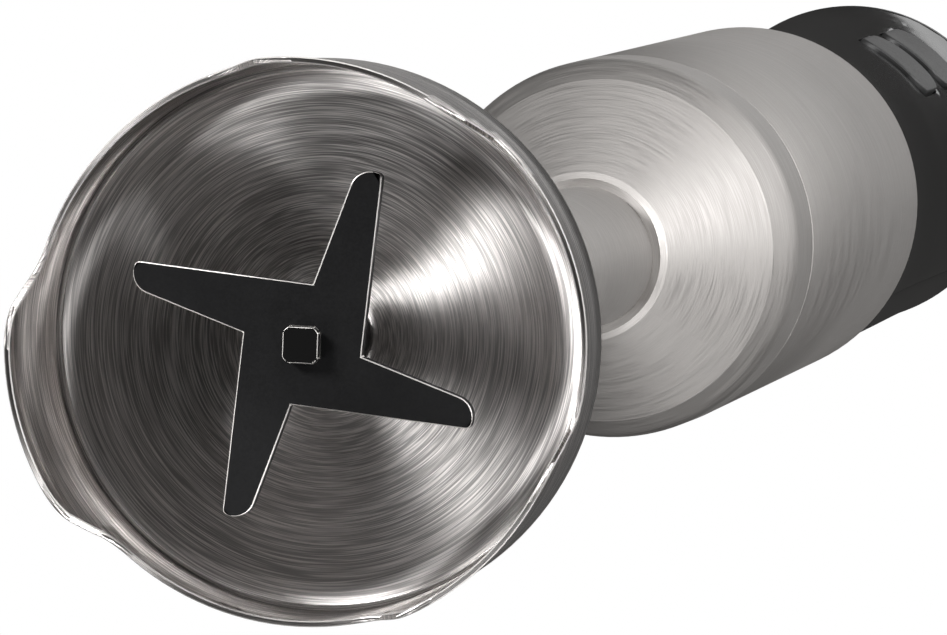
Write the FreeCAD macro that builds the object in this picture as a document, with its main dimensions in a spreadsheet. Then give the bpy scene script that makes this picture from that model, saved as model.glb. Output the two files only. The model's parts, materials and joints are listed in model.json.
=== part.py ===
"""Immersion blender: a steel blending arm on a motor body with a black handle.

Millimetres, +Z up. The origin is the centre of the circle that the bell stands on.
The buttons face -Y.
"""

import FreeCAD, Part
import math
import os
import re
import sys

import Sketcher

# ---------------------------------------------------------------- driving dimensions

SIZES = {
    # bell
    "rim_radius": 33.0,
    "rim_flare": 0.6,
    "skirt_taper_height": 16.5,
    "skirt_height": 21.0,
    "bell_wall": 0.7,
    "bell_shoulder_step": 2.0,
    "bell_shoulder_rise": 2.4,
    "bell_crown_round": 3.2,
    "cone_thickness": 1.0,
    "cone_top_step": 2.15,
    "cone_top_height": 39.0,
    "neck_wall": 1.15,
    "neck_height": 46.0,
    "scallop_depth": 10.0,
    "scallop_half_width": 15.9,
    "scallop_slant": 5.0,
    "scallop_round": 4.0,
    "scallop_count": 3.0,
    "lobe_angle": 6.0,
    "floor_height": 18.4,
    "floor_lip": 0.9,
    "floor_dish": 3.2,
    "floor_thickness": 1.2,
    "floor_hub_radius": 9.0,
    # blade and drive shaft
    "blade_height": 7.9,
    "blade_thickness": 1.6,
    "blade_tip_reach": 21.5,
    "blade_tip_width": 3.0,
    "blade_tip_round": 2.45,
    "blade_tip_nick": 0.6,
    "blade_corner_radius": 7.0,
    "blade_corner_angle": -10.4,
    "blade_angle": -18.0,
    "blade_count": 4.0,
    "shaft_radius": 2.5,
    "stub_flats": 4.1,
    "stub_proud": 1.0,
    "stub_turn": 19.0,
    "spacer_radius": 3.8,
    "washer_thickness": 0.8,
    "washer_radius": 4.2,
    "ring_thickness": 0.6,
    "ring_groove": 0.35,
    "ring_reach": 0.5,
    # running and sliding clearances
    "running_gap": 0.05,
    "end_gap": 0.4,
    "socket_gap": 0.3,
    "twist_gap": 0.3,
    "button_gap": 0.35,
    # tube and what it carries
    "tube_radius": 10.25,
    "tube_wall": 1.0,
    "tube_foot_height": 38.0,
    "seal_radius": 4.5,
    "seal_face_height": 21.6,
    "seal_length": 8.4,
    "carrier_nose_radius": 6.5,
    "carrier_nose_height": 24.6,
    "carrier_height": 60.0,
    "bushing_radius": 4.5,
    "bushing_length": 12.0,
    "mid_bushing_height": 118.0,
    "mid_bushing_length": 10.0,
    # flare housing
    "flare_height": 192.7,
    "flare_collar_wall": 1.15,
    "flare_cone_step": 3.15,
    "flare_cone_height": 210.6,
    "flare_shoulder_step": 0.25,
    "flare_shoulder_height": 217.4,
    "flare_shoulder_round": 9.0,
    "flare_wall": 1.2,
    "seam_radius": 28.35,
    "seam_height": 230.3,
    "tube_overlap": 11.0,
    # twist lock between arm and motor body
    "spigot_radius": 24.0,
    "spigot_wall": 3.0,
    "spigot_length": 12.7,
    "lug_count": 3.0,
    "lug_reach": 1.6,
    "lug_width": 9.0,
    "lug_thickness": 3.0,
    "lug_drop": 1.0,
    "unlock_angle": 30.0,
    "gasket_thickness": 0.6,
    "gasket_inset": 0.5,
    "face_gap": 0.1,
    # couplings
    "hex_flats": 10.0,
    "hex_length": 13.0,
    "coupling_foot_radius": 6.5,
    "coupling_foot_height": 2.5,
    "coupling_foot_level": 222.9,
    "cup_radius": 9.4,
    "cup_foot_height": 233.0,
    "cup_depth": 10.5,
    "cup_floor": 4.5,
    # motor body front
    "nose_flange": 0.5,
    "nose_flange_inset": 0.45,
    "nose_radius": 27.25,
    "nose_height": 250.0,
    "nose_web_height": 244.2,
    "nose_web_thickness": 2.8,
    "cradle_radius": 26.5,
    "cradle_wall": 1.4,
    "cradle_height": 336.0,
    "collar_wall": 0.9,
    "collar_length": 113.5,
    "collar_growth": 1.2,
    "collar_end_lean": 1.4,
    # motor
    "motor_shaft_radius": 3.0,
    "motor_shaft_top": 328.0,
    "cushion_thickness": 1.4,
    "cushion_inner_radius": 18.0,
    "bracket_radius": 24.3,
    "bracket_thickness": 2.4,
    "bracket_hub_radius": 8.0,
    "bracket_hub_length": 5.0,
    "motor_bushing_radius": 5.5,
    "fan_height": 257.4,
    "fan_length": 4.6,
    "fan_plate": 1.0,
    "fan_radius": 18.0,
    "fan_hub_radius": 5.5,
    "fan_blades": 9.0,
    "fan_blade_thickness": 0.9,
    "stator_height": 268.5,
    "stator_length": 30.0,
    "stator_radius": 24.3,
    "stator_bore": 12.6,
    "coil_reach": 16.0,
    "coil_near": 12.6,
    "coil_width": 5.0,
    "coil_overhang": 5.0,
    "air_gap": 0.6,
    "winding_radius": 10.4,
    "winding_overhang": 4.6,
    "commutator_height": 305.0,
    "commutator_length": 10.0,
    "commutator_radius": 8.0,
    "rear_bracket_height": 318.0,
    "screw_circle": 21.2,
    "screw_radius": 1.5,
    "screw_head_radius": 2.8,
    "screw_head_length": 2.0,
    "post_radius": 2.9,
    "brush_width": 5.0,
    "brush_height": 6.0,
    "brush_length": 8.0,
    "holder_wall": 1.0,
    "holder_reach": 21.0,
    "spring_wire": 0.5,
    "spring_coil_radius": 1.8,
    "spring_turns": 4.0,
    # handle
    "handle_wall": 2.2,
    "handle_step": 0.45,
    "handle_foot_lean": 1.4,
    "waist_rise": 15.0,
    "waist_draw": 0.5,
    "waist_lean": 1.2,
    "grip_rise": 47.0,
    "grip_draw": 0.6,
    "grip_lean": 1.2,
    "palm_rise": 87.0,
    "palm_draw": 0.3,
    "palm_lean": 1.7,
    "handle_top_rise": 129.0,
    "handle_top_swell": 0.8,
    "handle_top_lean": 3.4,
    "split_depth": 3.0,
    "cap_thickness": 7.0,
    "cap_round": 5.0,
    "cap_plug": 3.0,
    "gland_radius": 5.6,
    "gland_flange": 7.4,
    "gland_bore": 3.3,
    "gland_length": 9.0,
    "gland_flange_length": 1.6,
    "boss_radius": 3.2,
    "boss_reach": 16.5,
    "boss_low_rise": 11.0,
    "boss_high_drop": 11.0,
    "shell_screw_head": 2.8,
    "shell_screw_radius": 1.5,
    "shell_screw_depth": 6.0,
    # buttons and board
    "button_width": 15.0,
    "button_length": 20.0,
    "button_round": 4.0,
    "button_proud": 0.7,
    "button_depth": 6.0,
    "button_travel": 1.6,
    "button_stem_radius": 2.5,
    "low_button_rise": 71.0,
    "button_pitch": 27.0,
    "flange_width": 1.6,
    "flange_thickness": 1.4,
    "board_depth": 14.0,
    "board_thickness": 1.6,
    "board_half_width": 12.0,
    "board_low_drop": 26.0,
    "board_high_rise": 17.0,
    "board_post_radius": 2.6,
    "board_screw_radius": 1.1,
    "board_screw_inset": 3.4,
    "switch_width": 12.0,
    "switch_length": 6.0,
    "switch_depth": 5.0,
    "switch_gap": 0.3,
    "part_depth": 8.0,
    "lead_radius": 0.9,
    "lead_inset": 0.8,
    "lead_run": 3.0,
}

# Sizes that follow a neighbour's, so that what meets still meets when a size changes.
FITTED = {
    "skirt_radius": "rim_radius - rim_flare",
    "bell_shoulder_radius": "rim_radius - rim_flare - bell_shoulder_step",
    "cone_top_radius": "tube_radius + cone_top_step",
    "neck_radius": "tube_radius + neck_wall",
    "flare_collar_radius": "tube_radius + flare_collar_wall",
    "flare_cone_radius": "seam_radius - flare_cone_step",
    "flare_shoulder_radius": "seam_radius - flare_shoulder_step",
    "collar_end_radius": "seam_radius + collar_growth",
    "handle_foot_radius": "collar_end_radius - handle_step",
    "waist_radius": "handle_foot_radius - waist_draw",
    "grip_radius": "handle_foot_radius - grip_draw",
    "palm_radius": "handle_foot_radius - palm_draw",
    "handle_top_radius": "handle_foot_radius + handle_top_swell",
    "collar_end_height": "seam_height + gasket_thickness + face_gap + nose_flange + collar_length",
    "waist_height": "collar_end_height + waist_rise",
    "grip_height": "collar_end_height + grip_rise",
    "palm_height": "collar_end_height + palm_rise",
    "handle_top_height": "collar_end_height + handle_top_rise",
    "boss_low": "collar_end_height + boss_low_rise",
    "boss_high": "handle_top_height - boss_high_drop",
    "low_button_height": "collar_end_height + low_button_rise",
    "high_button_height": "low_button_height + button_pitch",
    "board_low": "low_button_height - board_low_drop",
    "board_high": "high_button_height + board_high_rise",
}

# Heights along the axis that follow from the driving dimensions.
BLADE_TOP = "(blade_height + blade_thickness)"
SPACER_TOP = "(seal_face_height - end_gap)"
PLATE_TOP = "(floor_height + floor_lip + floor_dish + floor_thickness)"
SEAL_TOP = "(seal_face_height + seal_length)"
BUSHING_FOOT = "(carrier_height - bushing_length)"
TUBE_TOP = "(flare_height + tube_overlap)"
FLOOR_TOP = "(coupling_foot_level - washer_thickness)"
GASKET_TOP = "(seam_height + gasket_thickness)"
NOSE_FOOT = "(seam_height + gasket_thickness + face_gap)"
COLLAR_FOOT = "(seam_height + gasket_thickness + face_gap + nose_flange)"
COLLAR_TOP = "collar_end_height"
SPIGOT_TOP = "(seam_height + spigot_length)"
LUG_FOOT = "(seam_height + spigot_length - lug_drop - lug_thickness)"
WEB_TOP = "(nose_web_height + nose_web_thickness)"
CUSHION_TOP = f"({WEB_TOP} + cushion_thickness)"
BRACKET_TOP = f"({WEB_TOP} + cushion_thickness + bracket_thickness)"
STATOR_TOP = "(stator_height + stator_length)"
REAR_TOP = "(rear_bracket_height + bracket_thickness)"
HOLDER_MID = "(commutator_height + commutator_length / 2)"
HEX_TOP = "(coupling_foot_level + coupling_foot_height + hex_length)"
CUP_TOP = "(cup_foot_height + cup_depth + cup_floor)"
TUBE_BORE = "(tube_radius - tube_wall)"
SHAFT_BORE = "(shaft_radius + running_gap)"
MOTOR_BORE = "(motor_shaft_radius + running_gap)"
BOARD_FACE = "(board_depth + board_thickness)"

# Sections of the handle from its foot to its top: height, radius, lean towards the front.
HANDLE_SECTIONS = [
    (COLLAR_TOP, "handle_foot_radius", "handle_foot_lean"),
    ("waist_height", "waist_radius", "waist_lean"),
    ("grip_height", "grip_radius", "grip_lean"),
    ("palm_height", "palm_radius", "palm_lean"),
    ("handle_top_height", "handle_top_radius", "handle_top_lean"),
]

doc = FreeCAD.newDocument("immersion_blender")
sheet = doc.addObject("Spreadsheet::Sheet", "dims")
cells = {name: str(value) for name, value in SIZES.items()}
cells.update((name, f"={formula}") for name, formula in FITTED.items())
for row, (alias, content) in enumerate(cells.items(), start=1):
    sheet.set(f"A{row}", content)
    sheet.setAlias(f"A{row}", alias)
doc.recompute()

pieces = []


# ---------------------------------------------------------------- small helpers


def bind(text):
    """Write an expression over the sheet's cells from one over the names of the sizes."""
    return re.sub(r"[a-z_]+", lambda word: f"dims.{word[0]}" if word[0] in cells else word[0], text)


def size(text):
    """The value of an expression over the sizes."""
    return float(sheet.evalExpression(bind(text)))


def new_body(name):
    """An empty body, which becomes the node of that name."""
    body = doc.addObject("PartDesign::Body", name)
    body.Label = name
    pieces.append(body)
    return body


def new_sketch(body, role, lift="0"):
    """A sketch on one of the body's own origin planes, moved along the plane's normal."""
    sketch = body.newObject("Sketcher::SketchObject", f"{body.Name}_sketch")
    plane = next(item for item in body.Origin.OriginFeatures if item.Role == role)
    sketch.AttachmentSupport = [(plane, "")]
    sketch.MapMode = "FlatFace"
    sketch.setExpression("AttachmentOffset.Base.z", bind(lift))
    return sketch


def pin(sketch, geometry, vertex, x, y):
    """Tie one sketch point to a place given by two expressions."""
    for kind, text in (("DistanceX", x), ("DistanceY", y)):
        rule = Sketcher.Constraint(kind, -1, 1, geometry, vertex, size(text))
        number = sketch.addConstraint(rule)
        sketch.setExpression(f"Constraints[{number}]", bind(text))


def tie_radius(sketch, geometry, radius):
    """Tie the radius of an arc or a circle to an expression."""
    number = sketch.addConstraint(Sketcher.Constraint("Radius", geometry, size(radius)))
    sketch.setExpression(f"Constraints[{number}]", bind(radius))


def arc_between(start, end, radius, left):
    """An arc of a circle from start to end, bulging to the left or right of the chord."""
    chord = end - start
    across = FreeCAD.Vector(-chord.y, chord.x, 0).normalize()
    rise = math.sqrt(radius**2 - (chord.Length / 2) ** 2)
    centre = (start + end) / 2 - across * (rise if left else -rise)
    ends = [start, end] if not left else [end, start]
    angles = [math.atan2(spot.y - centre.y, spot.x - centre.x) for spot in ends]
    circle = Part.Circle(centre, FreeCAD.Vector(0, 0, 1), radius)
    return Part.ArcOfCircle(circle, angles[0], angles[1])


def outline(sketch, points):
    """Draw a closed outline. A third item, left or right, and a radius make an arc."""
    first = sketch.GeometryCount
    spots = [FreeCAD.Vector(size(point[0]), size(point[1]), 0) for point in points]
    starts = []
    for index, point in enumerate(points):
        end = spots[(index + 1) % len(points)]
        if len(point) == 2:
            sketch.addGeometry(Part.LineSegment(spots[index], end), False)
            starts.append(1)
        else:
            left = point[2] == "left"
            sketch.addGeometry(arc_between(spots[index], end, size(point[3]), left), False)
            starts.append(2 if left else 1)
    for index, point in enumerate(points):
        following = (index + 1) % len(points)
        ends = (first + index, 3 - starts[index], first + following, starts[following])
        sketch.addConstraint(Sketcher.Constraint("Coincident", *ends))
    for index, point in enumerate(points):
        pin(sketch, first + index, starts[index], point[0], point[1])
        if len(point) > 2:
            tie_radius(sketch, first + index, point[3])


def circle_in(sketch, x, y, radius):
    """Draw a circle whose centre and radius are expressions."""
    here = FreeCAD.Vector(size(x), size(y), 0)
    circle = Part.Circle(here, FreeCAD.Vector(0, 0, 1), size(radius))
    geometry = sketch.addGeometry(circle, False)
    pin(sketch, geometry, 3, x, y)
    tie_radius(sketch, geometry, radius)


def rounded_box(sketch, x, y, width, length, corner):
    """Draw a rectangle with round corners about a centre."""
    low, high = f"({y} - {length} / 2)", f"({y} + {length} / 2)"
    near, far = f"({x} - {width} / 2)", f"({x} + {width} / 2)"
    outline(
        sketch,
        [
            (f"{near} + {corner}", low),
            (f"{far} - {corner}", low, "right", corner),
            (far, f"{low} + {corner}"),
            (far, f"{high} - {corner}", "right", corner),
            (f"{far} - {corner}", high),
            (f"{near} + {corner}", high, "right", corner),
            (near, f"{high} - {corner}"),
            (near, f"{low} + {corner}", "right", corner),
        ],
    )


def turned(name, points):
    """A body turned about the axis from an outline of (radius, height) points."""
    body = new_body(name)
    sketch = new_sketch(body, "XZ_Plane")
    outline(sketch, points)
    turn = body.newObject("PartDesign::Revolution", f"{name}_turn")
    turn.Profile = sketch
    turn.ReferenceAxis = (sketch, ["V_Axis"])
    turn.Angle = 360
    return body


def ring(name, inner, outer, foot, top):
    """A plain ring or sleeve on the axis."""
    return turned(name, [(inner, foot), (outer, foot), (outer, top), (inner, top)])


def grow(body, sketch, length, back=False):
    """Pad a sketch by a length, along its normal or back against it."""
    pad = body.newObject("PartDesign::Pad", f"{body.Name}_pad")
    pad.Profile = sketch
    pad.setExpression("Length", bind(length))
    pad.Reversed = back
    return pad


def carve(body, sketch, length=None, back=False):
    """Pocket a sketch by a length, or right through when there is none."""
    pocket = body.newObject("PartDesign::Pocket", f"{body.Name}_pocket")
    pocket.Profile = sketch
    pocket.Reversed = back
    if length is None:
        pocket.Type = "ThroughAll"
    else:
        pocket.setExpression("Length", bind(length))
    return pocket


def around(body, feature, count):
    """Repeat a feature evenly about the axis."""
    pattern = body.newObject("PartDesign::PolarPattern", f"{body.Name}_pattern")
    pattern.Originals = [feature]
    axis = next(item for item in body.Origin.OriginFeatures if item.Role == "Z_Axis")
    pattern.Axis = (axis, [""])
    pattern.Angle = 360
    pattern.setExpression("Occurrences", bind(count))
    body.Tip = pattern


def place(item, x, y, z):
    """Tie an object's place to three expressions."""
    for side, text in (("x", x), ("y", y), ("z", z)):
        item.setExpression(f"Placement.Base.{side}", bind(text))


def block(name, x, y, z, width, depth, height):
    """A box from its low corner and its three sizes."""
    item = doc.addObject("Part::Box", name)
    for side, text in (("Length", width), ("Width", depth), ("Height", height)):
        item.setExpression(side, bind(text))
    place(item, x, y, z)
    return item


TURN_TO = {
    "z": FreeCAD.Rotation(),
    "y": FreeCAD.Rotation(FreeCAD.Vector(1, 0, 0), -90),
    "x": FreeCAD.Rotation(FreeCAD.Vector(0, 1, 0), 90),
}


def rod(name, x, y, z, radius, length, axis="z"):
    """A cylinder that starts at a point and runs along +X, +Y or +Z."""
    item = doc.addObject("Part::Cylinder", name)
    item.Placement = FreeCAD.Placement(FreeCAD.Vector(), TURN_TO[axis])
    item.setExpression("Radius", bind(radius))
    item.setExpression("Height", bind(length))
    place(item, x, y, z)
    return item


def fuse(name, items):
    """Several shapes joined into one solid."""
    item = doc.addObject("Part::MultiFuse", name)
    item.Shapes = items
    return item


def cut(name, base, tool):
    """One shape less another."""
    item = doc.addObject("Part::Cut", name)
    item.Base = base
    item.Tool = tool
    return item


def node(item, name):
    """Make a shape the node of that name."""
    item.Label = name
    pieces.append(item)
    return item


def group(name, items):
    """Separate like pieces kept as the solids of one node."""
    item = doc.addObject("Part::Compound", name)
    item.Links = items
    return node(item, name)


def screw(name, x, y, z, shank, length, head, head_length, axis="z"):
    """A pan-head screw: the shank runs along the axis up to the head's underside."""
    along = {"x": 0, "y": 1, "z": 2}[axis]
    seat = [x, y, z]
    seat[along] = f"({seat[along]} + {length})"
    parts = [
        rod(f"{name}_shank", x, y, z, shank, length, axis),
        rod(f"{name}_head", *seat, head, head_length, axis),
    ]
    return fuse(name, parts)


# ---------------------------------------------------------------- blending arm


def make_bell():
    """The spun bell: a thin skirt with three scallops, a shallow cone and a neck."""
    bell = turned(
        "bell_guard",
        [
            ("rim_radius - bell_wall", "0"),
            ("rim_radius", "0"),
            ("skirt_radius", "skirt_taper_height"),
            ("skirt_radius", "skirt_height", "right", "bell_crown_round"),
            ("bell_shoulder_radius", "skirt_height + bell_shoulder_rise"),
            ("cone_top_radius", "cone_top_height"),
            ("neck_radius", "cone_top_height + 1.6"),
            ("neck_radius", "neck_height"),
            ("tube_radius", "neck_height"),
            ("tube_radius", "cone_top_height - cone_thickness"),
            ("cone_top_radius - 0.6", "cone_top_height - cone_thickness - 0.9"),
            ("skirt_radius - bell_wall - 1.6", "skirt_height + bell_shoulder_rise - 1.6"),
            ("skirt_radius - bell_wall", "skirt_height - 0.4"),
            ("skirt_radius - bell_wall", "skirt_taper_height"),
        ],
    )
    window = new_sketch(bell, "YZ_Plane")
    slope = "sqrt(scallop_depth ^ 2 + scallop_slant ^ 2)"
    trim = f"(scallop_round * ({slope} - scallop_slant) / scallop_depth)"
    along, up = f"({trim} * scallop_slant / {slope})", f"({trim} * scallop_depth / {slope})"
    wide = "(scallop_half_width + scallop_slant)"
    half = [
        (f"{wide} + {trim}", "0", "left"),
        (f"{wide} - {along}", up, ""),
        (f"scallop_half_width + {along}", f"scallop_depth - {up}", "right"),
        (f"scallop_half_width - {trim}", "scallop_depth", ""),
    ]
    edge = [(f"-1 - ({half[0][0]})", "-1"), (f"1 + {half[0][0]}", "-1"), (f"1 + {half[0][0]}", "0")]
    edge += [(x, z, bend, "scallop_round") if bend else (x, z) for x, z, bend in half]
    edge += [
        (f"-({half[3][0]})", half[3][1], "right", "scallop_round"),
        (f"-({half[2][0]})", half[2][1]),
        (f"-({half[1][0]})", half[1][1], "left", "scallop_round"),
        (f"-({half[0][0]})", half[0][1]),
        (f"-1 - ({half[0][0]})", "0"),
    ]
    outline(window, edge)
    scallop = carve(bell, window, "rim_radius + 2", back=True)
    around(bell, scallop, "scallop_count")
    bell.setExpression("Placement.Rotation.Angle", bind("lobe_angle + 180 / scallop_count"))
    return bell


def make_bell_floor():
    """The shallow turned dish that closes the bell behind the blade."""
    edge = "(skirt_radius - bell_wall)"
    flat = "(floor_height + floor_lip)"
    return turned(
        "bell_floor",
        [
            (f"{edge} - 0.5", "floor_height"),
            (edge, "floor_height"),
            (edge, f"{flat} + floor_thickness"),
            ("floor_hub_radius", PLATE_TOP),
            ("seal_radius", PLATE_TOP),
            ("seal_radius", "carrier_nose_height - floor_thickness - 1"),
            ("floor_hub_radius", f"{PLATE_TOP} - floor_thickness"),
            (f"{edge} - 0.5", flat),
        ],
    )


def make_arm_tube():
    """The long tube, the seal and bushing carrier at its foot, and the bushings."""
    ring("shaft_tube", TUBE_BORE, "tube_radius", "tube_foot_height", TUBE_TOP)
    turned(
        "lower_carrier",
        [
            ("seal_radius", "carrier_nose_height"),
            ("carrier_nose_radius", "carrier_nose_height"),
            ("carrier_nose_radius", "tube_foot_height - 2"),
            (TUBE_BORE, "tube_foot_height"),
            (TUBE_BORE, "carrier_height"),
            ("bushing_radius", "carrier_height"),
            ("bushing_radius", BUSHING_FOOT),
            ("shaft_radius + 0.6", BUSHING_FOOT),
            ("shaft_radius + 0.6", SEAL_TOP),
            ("seal_radius", SEAL_TOP),
        ],
    )
    turned(
        "lip_seal",
        [
            (SHAFT_BORE, "seal_face_height + 1.2"),
            ("shaft_radius + 0.8", "seal_face_height"),
            ("seal_radius", "seal_face_height"),
            ("seal_radius", SEAL_TOP),
            (SHAFT_BORE, SEAL_TOP),
        ],
    )
    ring("lower_bushing", SHAFT_BORE, "bushing_radius", BUSHING_FOOT, "carrier_height")
    top = "mid_bushing_height + mid_bushing_length"
    ring("mid_bushing", SHAFT_BORE, TUBE_BORE, "mid_bushing_height", top)


def make_flare():
    """The flared steel housing at the top of the tube."""
    return turned(
        "flare_housing",
        [
            ("tube_radius", "flare_height"),
            ("flare_collar_radius", "flare_height"),
            ("flare_collar_radius + 0.9", "flare_height + 1"),
            ("flare_cone_radius", "flare_cone_height"),
            ("flare_cone_radius + 1.7", "flare_cone_height + 3", "right", "flare_shoulder_round"),
            ("flare_shoulder_radius", "flare_shoulder_height"),
            ("seam_radius", "seam_height"),
            ("seam_radius - flare_wall", "seam_height"),
            ("seam_radius - flare_wall", "flare_shoulder_height + 0.6"),
            ("flare_cone_radius - 1", "flare_cone_height + 1.6"),
            ("flare_collar_radius", "flare_height + 4.4"),
            ("tube_radius", "flare_height + 4.4"),
        ],
    )


def make_upper_carrier():
    """The plastic insert in the flare: top bushing seat and twist-lock spigot."""
    inner = "(spigot_radius - spigot_wall)"
    carrier = turned(
        "upper_carrier",
        [
            ("bushing_radius", "flare_height + 3"),
            (TUBE_BORE, "flare_height + 3"),
            (TUBE_BORE, "flare_shoulder_height + 1.6"),
            ("seam_radius - flare_wall", "flare_shoulder_height + 1.6"),
            ("seam_radius - flare_wall", "seam_height"),
            ("spigot_radius", "seam_height"),
            ("spigot_radius", SPIGOT_TOP),
            (inner, SPIGOT_TOP),
            (inner, FLOOR_TOP),
            ("bushing_radius", FLOOR_TOP),
        ],
    )
    lug = new_sketch(carrier, "XY_Plane", LUG_FOOT)
    outline(
        lug,
        [
            ("spigot_radius - 1", "-lug_width / 2"),
            ("spigot_radius + lug_reach - 0.4", "-lug_width / 2"),
            ("spigot_radius + lug_reach - 0.4", "lug_width / 2"),
            ("spigot_radius - 1", "lug_width / 2"),
        ],
    )
    around(carrier, grow(carrier, lug, "lug_thickness"), "lug_count")
    foot = f"({FLOOR_TOP} - bushing_length)"
    ring("upper_bushing", SHAFT_BORE, "bushing_radius", foot, FLOOR_TOP)
    ring("seam_gasket", "spigot_radius", "seam_radius - gasket_inset", "seam_height", GASKET_TOP)
    return carrier


# ---------------------------------------------------------------- blade and drive shaft


def make_blade():
    """A flat pinwheel blade: each arm has a square root and a tip cut back on one side."""
    blade = new_body("blade")
    arm = new_sketch(blade, "XY_Plane", "blade_height")
    corner = "(blade_corner_angle * 1deg)"
    root_x = f"(blade_corner_radius * cos{corner})"
    root_y = f"(blade_corner_radius * sin{corner})"
    tip_y = f"({root_y} + blade_tip_width)"
    slope = f"atan(({root_x} - {tip_y}) / (blade_tip_reach + {root_y}))"
    trim = f"(blade_tip_nick * tan((90deg - {slope}) / 2))"
    outline(
        arm,
        [
            ("0", "0"),
            (root_x, root_y),
            ("blade_tip_reach - blade_tip_round", root_y, "right", "blade_tip_round"),
            ("blade_tip_reach", f"{root_y} + blade_tip_round"),
            ("blade_tip_reach", f"{tip_y} - {trim}", "right", "blade_tip_nick"),
            (f"blade_tip_reach - {trim} * cos({slope})", f"{tip_y} + {trim} * sin({slope})"),
            (f"-{root_y}", root_x),
        ],
    )
    around(blade, grow(blade, arm, "blade_thickness"), "blade_count")
    hole = new_sketch(blade, "XY_Plane", "blade_height")
    hole.setExpression("AttachmentOffset.Rotation.Angle", bind("-stub_turn"))
    outline(hole, stub_outline())
    carve(blade, hole, "blade_thickness", back=True)
    blade.setExpression("Placement.Rotation.Angle", bind("blade_angle"))
    return blade


def stub_outline():
    """The shaft's end: a circle with four flats."""
    flat = "stub_flats / 2"
    reach = "sqrt(shaft_radius ^ 2 - (stub_flats / 2) ^ 2)"
    return [
        (reach, f"-{flat}", "right", "shaft_radius"),
        (flat, f"-{reach}"),
        (flat, reach, "right", "shaft_radius"),
        (reach, flat),
        (f"-{reach}", flat, "right", "shaft_radius"),
        (f"-{flat}", reach),
        (f"-{flat}", f"-{reach}", "right", "shaft_radius"),
        (f"-{reach}", f"-{flat}"),
    ]


def make_drive_shaft():
    """The long shaft with its flatted end, and what is fixed to it."""
    clip = f"({BUSHING_FOOT} - end_gap - ring_thickness)"
    shaft = turned(
        "drive_shaft",
        [
            ("0", BLADE_TOP),
            ("shaft_radius", BLADE_TOP),
            ("shaft_radius", clip),
            ("shaft_radius - ring_groove", clip),
            ("shaft_radius - ring_groove", f"{clip} + ring_thickness"),
            ("shaft_radius", f"{clip} + ring_thickness"),
            ("shaft_radius", HEX_TOP),
            ("0", HEX_TOP),
        ],
    )
    stub = new_sketch(shaft, "XY_Plane", "blade_height - stub_proud")
    stub.setExpression("AttachmentOffset.Rotation.Angle", bind("-stub_turn"))
    outline(stub, stub_outline())
    grow(shaft, stub, "stub_proud + blade_thickness")
    shaft.setExpression("Placement.Rotation.Angle", bind("blade_angle"))
    bore, edge = "shaft_radius - ring_groove", "shaft_radius + ring_reach"
    ring("retaining_ring", bore, edge, clip, f"{clip} + ring_thickness")
    ring("blade_spacer", "shaft_radius", "spacer_radius", BLADE_TOP, SPACER_TOP)
    foot = f"({FLOOR_TOP} + running_gap)"
    ring("thrust_washer", "shaft_radius", "washer_radius", foot, "coupling_foot_level")


def hexagon(flats):
    """The corners of a hexagon from its width across flats."""
    corner = f"({flats} / sqrt(3))"
    turns = [f"({60 * index} * 1deg)" for index in range(6)]
    return [(f"{corner} * cos{turn}", f"{corner} * sin{turn}") for turn in turns]


def make_couplings():
    """The hexagonal dog on the drive shaft and the cup on the motor shaft."""
    foot_top = "coupling_foot_level + coupling_foot_height"
    dog = ring("arm_coupling", "shaft_radius", "coupling_foot_radius", "coupling_foot_level", foot_top)
    spline = new_sketch(dog, "XY_Plane", foot_top)
    outline(spline, hexagon("hex_flats"))
    circle_in(spline, "0", "0", "shaft_radius")
    grow(dog, spline, "hex_length")
    cup = turned(
        "motor_coupling",
        [
            ("0", "cup_foot_height"),
            ("cup_radius", "cup_foot_height"),
            ("cup_radius", CUP_TOP),
            ("0", CUP_TOP),
        ],
    )
    socket = new_sketch(cup, "XY_Plane", "cup_foot_height")
    outline(socket, hexagon("(hex_flats + 2 * socket_gap)"))
    carve(cup, socket, "cup_depth", back=True)
    bore = new_sketch(cup, "XY_Plane", "cup_foot_height + cup_depth")
    circle_in(bore, "0", "0", "motor_shaft_radius")
    carve(cup, bore, "cup_floor", back=True)
    return cup


# ---------------------------------------------------------------- motor


def make_nose_ring():
    """The plastic front of the motor body, with the twist lock's slots and groove."""
    bore = "(spigot_radius + twist_gap)"
    track = "(spigot_radius + lug_reach + twist_gap)"
    groove_foot = f"({LUG_FOOT} - twist_gap)"
    groove_top = "(nose_web_height - 0.6)"
    nose = turned(
        "nose_ring",
        [
            (bore, NOSE_FOOT),
            ("seam_radius - nose_flange_inset", NOSE_FOOT),
            ("seam_radius - nose_flange_inset", COLLAR_FOOT),
            ("nose_radius", COLLAR_FOOT),
            ("nose_radius", "nose_height"),
            ("cradle_radius - cradle_wall - 1.2", "nose_height"),
            ("cradle_radius - cradle_wall - 1.2", WEB_TOP),
            ("cup_radius + 1", WEB_TOP),
            ("cup_radius + 1", "nose_web_height"),
            (bore, "nose_web_height"),
            (bore, groove_top),
            (track, groove_top),
            (track, groove_foot),
            (bore, groove_foot),
        ],
    )
    slot = new_sketch(nose, "XY_Plane", NOSE_FOOT)
    half = "(lug_width / 2 + twist_gap)"
    outline(
        slot,
        [
            ("spigot_radius - 2", f"-{half}"),
            (track, f"-{half}"),
            (track, half),
            ("spigot_radius - 2", half),
        ],
    )
    around(nose, carve(nose, slot, f"{groove_foot} - {NOSE_FOOT} + 0.5", back=True), "lug_count")
    nose.setExpression("Placement.Rotation.Angle", bind("unlock_angle"))
    return nose


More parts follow.
